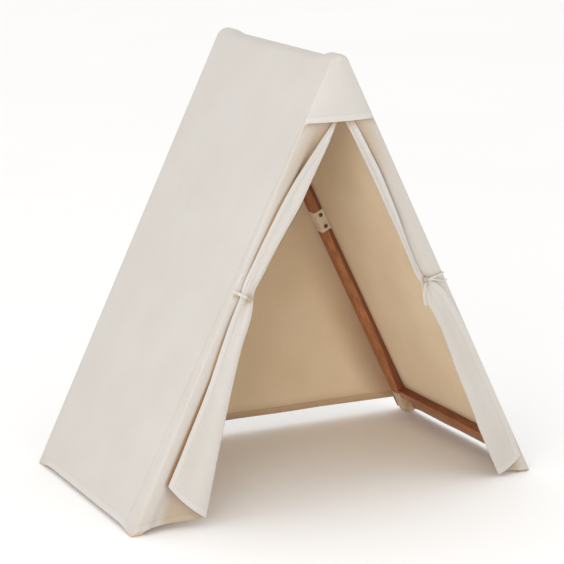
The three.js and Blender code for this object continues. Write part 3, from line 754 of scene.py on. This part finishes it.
def curtain(name):
    """A door curtain: from the corner seam to the fold at the opening, and back to its free edge."""
    side = SIDES[name]
    shape = CURTAINS[name]

    # Columns run from the seam (0) to the fold (1) and back to the free edge (2).
    base_columns = stations([0.0, 0.02, 0.04], 0.02)
    base_columns = np.concatenate([base_columns, stations([0.04, 0.88], 0.04)[1:]])
    base_columns = np.concatenate([base_columns, stations([0.88, 1.0], 0.012)[1:]])
    lapel_columns = stations([1.0, 1.12], 0.012)[1:]
    lapel_columns = np.concatenate([lapel_columns, stations([1.12, 1.86, 1.91, 2.0], 0.05)[1:]])
    columns = np.concatenate([base_columns, lapel_columns])
    upper = np.concatenate([stations([0.0, 0.82], 1 / 44), stations([0.82, 1.0], 1 / 90)[1:]])
    lower = np.concatenate([stations([0.0, 0.15], 1 / 100), stations([0.15, 0.96, 0.985, 1.0], 1 / 50)[1:]])

    # Every column passes the tie at the same height. Below, each has its own length.
    base_share = np.clip(columns, 0, 1)
    back = np.clip(columns - 1, 0, 1)
    on_lapel = (columns > 1)[None, :]
    seam_n = CANVAS_N - 0.0021
    top_s = -0.078
    fold_z = shape["seam_z"] + (shape["fold_z"] - shape["seam_z"]) * base_share**0.6
    fold_bottom = slope_at(shape["fold_z"], shape["fold"][-1][1])
    bottom_n = seam_n + (shape["fold"][-1][1] - seam_n) * base_share
    bottom_s = slope_at(fold_z, bottom_n) + (shape["free_s"] - fold_bottom) * back
    bottom_s = bottom_s - shape["hem_sag"] * np.sin(math.pi * back)
    s_upper = top_s + (TIE_S - top_s) * upper[:, None] + 0 * columns[None, :]
    s_lower = TIE_S + (bottom_s - TIE_S)[None, :] * lower[1:, None]
    s = np.concatenate([s_upper, s_lower])
    fold = eased(shape["fold"], s)
    free = eased(shape["free"], s)
    lift = eased(shape["lift"], s)
    roll = eased(shape["roll"], s)
    at_tie = np.exp(-(((s - TIE_S) / 0.020) ** 2))
    by_tie = np.exp(-np.abs(s - TIE_S) / 0.08)

    # Behind the fold the cloth lies on the front plane, drawn back over the opening.
    share = base_share[None, :]
    n_base = seam_n + (fold - seam_n) * share
    over_opening = smoothstep(0.004, -0.020, n_base)
    hollow = np.sin(np.pi * share) ** 1.5
    drawn_back = 0.011 * (1 - 0.7 * by_tie) * smoothstep(-0.09, -0.3, s)
    half_roll = roll / 2
    to_fold = np.clip((n_base - fold) / half_roll, 0, 1)
    turn_out = half_roll * (1 - np.sqrt(1 - (1 - to_fold) ** 2))
    front_base = 0.0004 - drawn_back * hollow * over_opening + turn_out

    # The lapel rises round the fold, dips along its middle and lifts at its free edge.
    back = back[None, :]
    n_lapel = fold + (free - fold) * back
    rise = np.sqrt(1 - (1 - np.clip(back / 0.30, 0, 1)) ** 2)
    dip = 0.0025 * np.sin(np.pi * np.clip((back - 0.15) / 0.8, 0, 1)) ** 2
    front_lapel = half_roll * (1 + rise) + (lift - roll) * back**1.5 - dip * (1 - at_tie)
    n = np.where(on_lapel, n_lapel, n_base)
    front = np.where(on_lapel, np.maximum(front_lapel, 0.0018), front_base)

    # Pleats run out of the knot, up and down the cloth.
    pleats = np.cos(2 * math.pi * 3.2 * (share + back) + 0.6) * by_tie * (1 - at_tie)
    front = front + 0.0012 * pleats * np.where(on_lapel, 1, over_opening)
    valley = np.exp(-(((n - KNOT_N[name]) / 0.005) ** 2)) * on_lapel
    above = smoothstep(0.09, 0.0, s - TIE_S) * (s > TIE_S)
    below = smoothstep(0.07, 0.0, TIE_S - s) * (s <= TIE_S)
    front = front - 0.0022 * valley * (above + below) * (1 - at_tie)

    # The first columns come out of the cover's corner and settle on the front plane.
    corner = smoothstep(0.020, 0.0305, n) * (1 - on_lapel)
    plane = DOOR_Y[name] + (STRIP_Y - 0.0011 - DOOR_Y[name]) * corner
    plane = plane + 0.0031 * smoothstep(0.0295, seam_n, n) * (1 - on_lapel)

    # Behind the valance it stands back a little.
    height = AXIS_Z + n * SIN + s * COS
    plane = plane + 0.0018 * smoothstep(VALANCE_HEM_Z - 0.035, VALANCE_HEM_Z - 0.002, height)
    points = on_side(side, n, s, plane - front)
    waves = 0.0022 * ripple(points * np.array([1.6, 1, 0.5]), 0.11, 21 + side)
    waves += 0.0007 * ripple(points, 0.045, 23 + side)
    free_to_move = np.where(on_lapel, back, over_opening * hollow * 0.8)
    points[..., 1] -= waves * free_to_move * (1 - 0.8 * at_tie)

    # Painted shade: under the lapel, beside its free edge, near the top, under the tie's band, round the
    # knot, under the valance, at the seam, on the strip by the corner and low down.
    by_valance = smoothstep(-0.42, -0.14, s)
    shaded_from = free - 0.26 * np.clip(shape["free_s"] - s, 0, 1)
    under = 0.50 * smoothstep(-0.004, 0.026, shaded_from - n)
    under = under + 0.15 * smoothstep(0.04, 0.0, n_base - fold)
    outside = np.maximum(n - free, 0)
    gap = eased(shape["gap"], s) * np.exp(-((outside / 0.005) ** 2))
    gap = gap * smoothstep(shape["free_s"] - 0.010, shape["free_s"] + 0.006, s)
    by_apex = 0.66 * by_valance * np.exp(-((outside / 0.036) ** 2))
    below_band = np.exp(-(((s - TIE_S + 0.0075) / 0.005) ** 2))
    by_band = shape["band_shadow"] * below_band * smoothstep(0.034, 0.030, n)
    seam = 0.06 * smoothstep(0.0270, 0.0312, n)
    strip = 0.04 + 0.07 * smoothstep(0.030, 0.010, n) + 0.09 * smoothstep(0.16, 0.01, height)
    under_valance = 0.68 * smoothstep(VALANCE_HEM_Z - 0.030, VALANCE_HEM_Z + 0.005, height)
    from_knot = np.hypot(n - KNOT_N[name], (s - TIE_S) * 0.8)
    dimple = 0.55 * np.exp(-((from_knot / 0.013) ** 2)) + 0.25 * valley * (above + below)
    darkest = np.maximum.reduce([under, gap, by_apex, by_band, under_valance])
    base_painted_shade = np.clip(darkest + seam + strip * (1 - darkest), 0, 1)
    lapel_painted_shade = np.clip(dimple + under_valance + shape["lapel_tint"], 0, 1)
    # The lapel's hidden face and the curtain's back carry painted shade too; the lapel's front gets it
    # round the knot and under the valance.
    painted_shade = np.where(on_lapel, 0.75, base_painted_shade)
    painted_shade_inside = np.where(on_lapel, lapel_painted_shade, 0.35)

    across_run = np.concatenate([[0], np.cumsum(np.abs(np.diff(n[-1])))])
    uv = np.stack([np.broadcast_to(across_run[None, :], s.shape), s], axis=-1)
    to_free = (1 - back) * np.abs(free - fold) + np.where(on_lapel, 0, 1)
    edge = np.minimum(to_free, s - bottom_s[None, :])
    materials = (CANVAS_OUT, CANVAS_OUT)
    piece = cloth_sheet(f"{name}_curtain", points, (0, -1, 0), materials, uv, edge, painted_shade, painted_shade_inside)
    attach(piece, f"{name}_frame")
    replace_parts(piece, f"{name}_door_upper", f"{name}_door_lower")
    squash_to_seam(piece, name)
    return piece


def squash_to_seam(piece, name):
    """Gives the piece a mesh of its own. The anchor on the corner seam at the tie's height is worked out
    but not used.
    """
    side = SIDES[name]
    anchor = tuple(float(v) for v in on_side(side, CANVAS_N, TIE_S, 0))
    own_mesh(piece)


# -------- ties
def trefoil(centre, size, count=72):
    """The closed path of an overhand knot."""
    t = np.linspace(0, 2 * math.pi, count, endpoint=False)
    x = np.sin(t) + 2 * np.sin(2 * t)
    y = -np.sin(3 * t) * 0.9
    z = np.cos(t) - 2 * np.cos(2 * t)
    return np.stack([x, y, z], axis=-1) / 3 * np.array(size) + np.array(centre)


TIE_STRANDS = {
    # Each strand runs from the corner seam to the knot: (n, height on the slope, front).
    "left": [
        [(0.0345, 0.0035, -0.0045), (0.0325, 0.0035, 0.0020), (0.0230, 0.0030, 0.0030),
         (0.0150, 0.0020, 0.0062), (0.0050, 0.0012, 0.0068), (-0.0080, 0.0, 0.0080)],
    ],
    "right": [
        [(0.0345, -0.0140, -0.0045), (0.0325, -0.0135, 0.0020), (0.0200, -0.0115, 0.0038),
         (0.0060, -0.0085, 0.0045), (-0.0080, -0.0055, 0.0060), (-0.0210, -0.0015, 0.0080)],
        [(0.0345, -0.0380, -0.0045), (0.0325, -0.0360, 0.0020), (0.0180, -0.0290, 0.0045),
         (0.0040, -0.0170, 0.0050), (-0.0090, -0.0090, 0.0062), (-0.0200, -0.0035, 0.0080)],
    ],
}
TIE_WIDTHS = {"left": [0.0088], "right": [0.0066, 0.0052]}


def tie(name):
    """Tape round the gathered curtain, and its knot."""
    side = SIDES[name]
    pieces = []
    for number, strand in enumerate(TIE_STRANDS[name]):
        n, height, front = np.array(strand).T
        path = curve_through(on_side(side, n, TIE_S + height, DOOR_Y[name] - front), 30)
        label = f"{name}_tie_band_visual" if number == 0 else f"{name}_tie_band_lower"
        width = TIE_WIDTHS[name][number]
        pieces.append(swept(label, path, width, 0.0016, TAPE, (side * 0.3, -1, 0.1)))
    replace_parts(pieces[0], f"{name}_tie_band")
    centre = on_side(side, KNOT_N[name], TIE_S, DOOR_Y[name] - 0.0088)
    loop = trefoil(centre, (0.0070, 0.0034, 0.0062))
    # The knot is in the darker knot tape: painted shade.
    knot = swept(f"{name}_knot", loop, 0.0050, 0.0036, KNOT_TAPE_SHADED, (0.2, -1, 0.15), closed=True)
    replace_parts(knot, f"{name}_tie_knot")
    for piece in (*pieces, knot):
        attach(piece, f"{name}_frame")
        squash_to_seam(piece, name)


# From the middle of the right-hand knot, as in part.mjs.
TAIL_ROUTE = [
    (0.0, 0.0, -0.0081),
    (-0.0040, -0.0015, -0.0200),
    (-0.0050, -0.0020, -0.0340),
    (-0.0045, -0.0015, -0.0500),
    (-0.0010, -0.0010, -0.0660),
]
TAIL_WIDTH = 0.0095


def tie_tail():
    """The loose end of the right-hand tie, which hangs from the knot and ends in a small knot."""
    low, high = (np.array(corner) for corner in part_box("right_tie_knot"))
    path = curve_through(np.array(TAIL_ROUTE) + (low + high) / 2, 24)
    tail = swept("right_tail", path, TAIL_WIDTH, 0.0014, TAPE, (0.25, -1, 0.1))
    loop = trefoil(path[-1] + np.array([0, 0, -0.001]), (0.0034, 0.0020, 0.0034), 48)
    end_knot = swept("right_tail_knot", loop, 0.0026, 0.0022, TAPE, (0.2, -1, 0.15), closed=True)
    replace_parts(tail, "right_tie_tail")
    for piece in (tail, end_knot):
        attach(piece, "right_frame")
        squash_to_seam(piece, "right")


# -------- tabs, studs and foot pockets
def rounded_path(corners, radius, steps=5):
    """An open path with its inner corners rounded."""
    corners = [np.array(c, float) for c in corners]
    path = [corners[0]]
    for before, corner, after in zip(corners, corners[1:], corners[2:]):
        start = corner + (before - corner) / np.linalg.norm(before - corner) * radius
        stop = corner + (after - corner) / np.linalg.norm(after - corner) * radius
        for t in np.linspace(0, 1, steps):
            path.append((1 - t) ** 2 * start + 2 * t * (1 - t) * corner + t**2 * stop)
    path.append(corners[-1])
    return np.array(path)


def leg_tab(name, end):
    """A strap of folded canvas round the leg, closed by two press studs."""
    side = SIDES[name]
    leg_low, leg_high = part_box(f"{name}_{end}_leg")
    y0 = leg_low[1] - 0.0014
    y1 = leg_high[1] + 0.0014
    corners = [(0.0320, y0), (0.0022, y0), (0.0022, y1), (0.0320, y1)]
    path = rounded_path(corners, 0.0035)
    fine = [path[0]]
    for a, b in zip(path, path[1:]):
        count = max(1, math.ceil(np.linalg.norm(b - a) / 0.004))
        fine.extend(a + (b - a) * (k + 1) / count for k in range(count))
    fine = np.array(fine)
    middle_s = -0.611
    half = 0.033
    heights = stations([-half, -half + 0.002, half - 0.002, half], 0.004)
    run = np.concatenate([[0], np.cumsum(np.linalg.norm(np.diff(fine, axis=0), axis=1))])
    n = fine[:, 0][None, :] + 0 * heights[:, None]
    y = fine[:, 1][None, :] + 0 * heights[:, None]
    s = middle_s + heights[:, None] + 0 * n
    points = on_side(side, n, s, y)
    uv = np.stack(np.broadcast_arrays(run[None, :], heights[:, None]), axis=-1)
    edge = (half - np.abs(heights))[:, None] + 0.0135 + 0 * n
    outward = (-side * COS, 0, -SIN)
    materials = (TAB_CANVAS, TAB_CANVAS)
    piece = cloth_sheet(f"{name}_{end}_tab", points, outward, materials, uv, edge, thickness=0.0012)
    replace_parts(piece, f"{name}_{end}_leg_tab")
    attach(piece, f"{name}_frame")
    return piece


STUD_PROFILE = [
    (0.0, 0.0), (0.0060, 0.0), (0.0062, 0.0006), (0.0057, 0.0012), (0.0048, 0.0013), (0.0042, 0.0008),
    (0.0036, 0.0008), (0.0032, 0.0016), (0.0020, 0.0021), (0.0, 0.0023),
]


def press_stud(name, end, number):
    """A ring spring stud: a rolled rim, a groove and a domed cap."""
    node = f"{name}_{end}_snap_{number}"
    low, high = (Vector(v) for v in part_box(node))
    centre = (low + high) / 2
    inwards = 1 if end == "front" else -1
    face = low[1] if inwards > 0 else high[1]
    sides = 32
    turn = np.linspace(0, 2 * math.pi, sides, endpoint=False)
    rings = []
    for radius, height in STUD_PROFILE:
        r = max(radius, 0.00015)
        ring = [
            (centre[0] + r * math.cos(a), face + inwards * height, centre[2] + r * math.sin(a))
            for a in turn
        ]
        rings.append(ring)
    piece = loft(f"{name}_{end}_stud_{number}", rings, SNAP_METAL)
    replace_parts(piece, node)
    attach(piece, f"{name}_frame")


def foot_pocket(name, end):
    """A canvas cup in the corner of the cover, with a rounded tip that the foot stands in."""
    side = SIDES[name]
    node = f"{name}_{end}_foot_pocket"
    low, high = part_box(node)
    y_middle = (low[1] + high[1]) / 2
    y_half = (high[1] - low[1]) / 2
    n_middle = 0.0175
    n_half = 0.0158
    sides = 40
    turn = np.linspace(0, 2 * math.pi, sides, endpoint=False)
    squared = 0.32
    c = np.sign(np.cos(turn)) * np.abs(np.cos(turn)) ** squared
    sn = np.sign(np.sin(turn)) * np.abs(np.sin(turn)) ** squared
    # (inward from the wall, height): under the foot, up the outside, over the rim, down the inside.
    outer = [(0.0155, 0.0), (0.008, 0.0), (0.003, 0.0003), (0.0008, 0.0020), (0.0, 0.006), (0.0, 0.03),
             (0.0, 0.058), (0.0002, 0.062)]
    inner = [(0.0013, 0.062), (0.0014, 0.058), (0.0014, 0.03), (0.0014, 0.004), (0.0155, 0.0022)]
    rings = []
    for inset, z in outer + inner:
        n = n_middle + (n_half - inset) * c
        y = y_middle + (y_half - inset) * sn
        rings.append(on_side(side, n, slope_at(z, n), y))
    # Its tan canvas is painted shade.
    piece = loft(f"{name}_{end}_pocket", rings, POCKET_CANVAS_SHADED)
    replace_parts(piece, node)
    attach(piece, f"{name}_frame")


# -------- room
LAMPS = [
    # name, place, size, power, colour
    ("key", (-5.2, -1.2, 3.6), 3.2, 24, (1.0, 0.985, 0.96)),
    ("front", (-3.6, -4.2, 1.1), 2.0, 116, (1.0, 0.975, 0.94)),
    ("fill", (3.4, -4.2, 2.6), 3.0, 15, (1.0, 0.98, 0.96)),
]


def studio():
    floor_mesh = bpy.data.meshes.new("floor")
    size = 60
    corners = [(-size, -size, 0), (size, -size, 0), (size, size, 0), (-size, size, 0)]
    floor_mesh.from_pydata(corners, [], [(0, 1, 2, 3)])
    floor = bpy.data.objects.new("floor", floor_mesh)
    bpy.context.scene.collection.objects.link(floor)
    paper = Shader("floor_paper")
    place = paper.node("ShaderNodeTexCoord").outputs["Object"]
    tone = paper.band(paper.noise(place, 0.6, 2.0), 0.3, 0.7)
    colour = paper.mix(tone, (0.92, 0.92, 0.918, 1), (0.91, 0.91, 0.908, 1))
    floor_mesh.materials.append(paper.finish(Base_Color=colour, Roughness=0.95))

    world = bpy.data.worlds.new("studio")
    world.use_nodes = True
    background = world.node_tree.nodes["Background"]
    background.inputs["Color"].default_value = (1.0, 0.99, 0.98, 1)
    background.inputs["Strength"].default_value = 1.06
    bpy.context.scene.world = world

    for name, place, width, power, colour in LAMPS:
        light = bpy.data.lights.new(name, "AREA")
        light.shape = "SQUARE"
        light.size = width
        light.energy = power
        light.color = colour
        lamp = bpy.data.objects.new(name, light)
        lamp.location = place
        towards = Vector((0, 0, 0.5)) - Vector(place)
        lamp.rotation_euler = towards.to_track_quat("-Z", "Y").to_euler()
        bpy.context.scene.collection.objects.link(lamp)
    bpy.context.scene.view_settings.view_transform = "Standard"


# -------- the scene
add_camera()
dress_cad()
tie_tail()
for frame_side in SIDES:
    cover(frame_side)
    tie(frame_side)
    curtain(frame_side)
    for frame_end in ("front", "back"):
        leg_tab(frame_side, frame_end)
        foot_pocket(frame_side, frame_end)
        for stud_number in (1, 2):
            press_stud(frame_side, frame_end, stud_number)
back_wall()
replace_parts(valance(), "ridge_cap")  # the ridge canvas, drawn as the tops of the covers
studio()
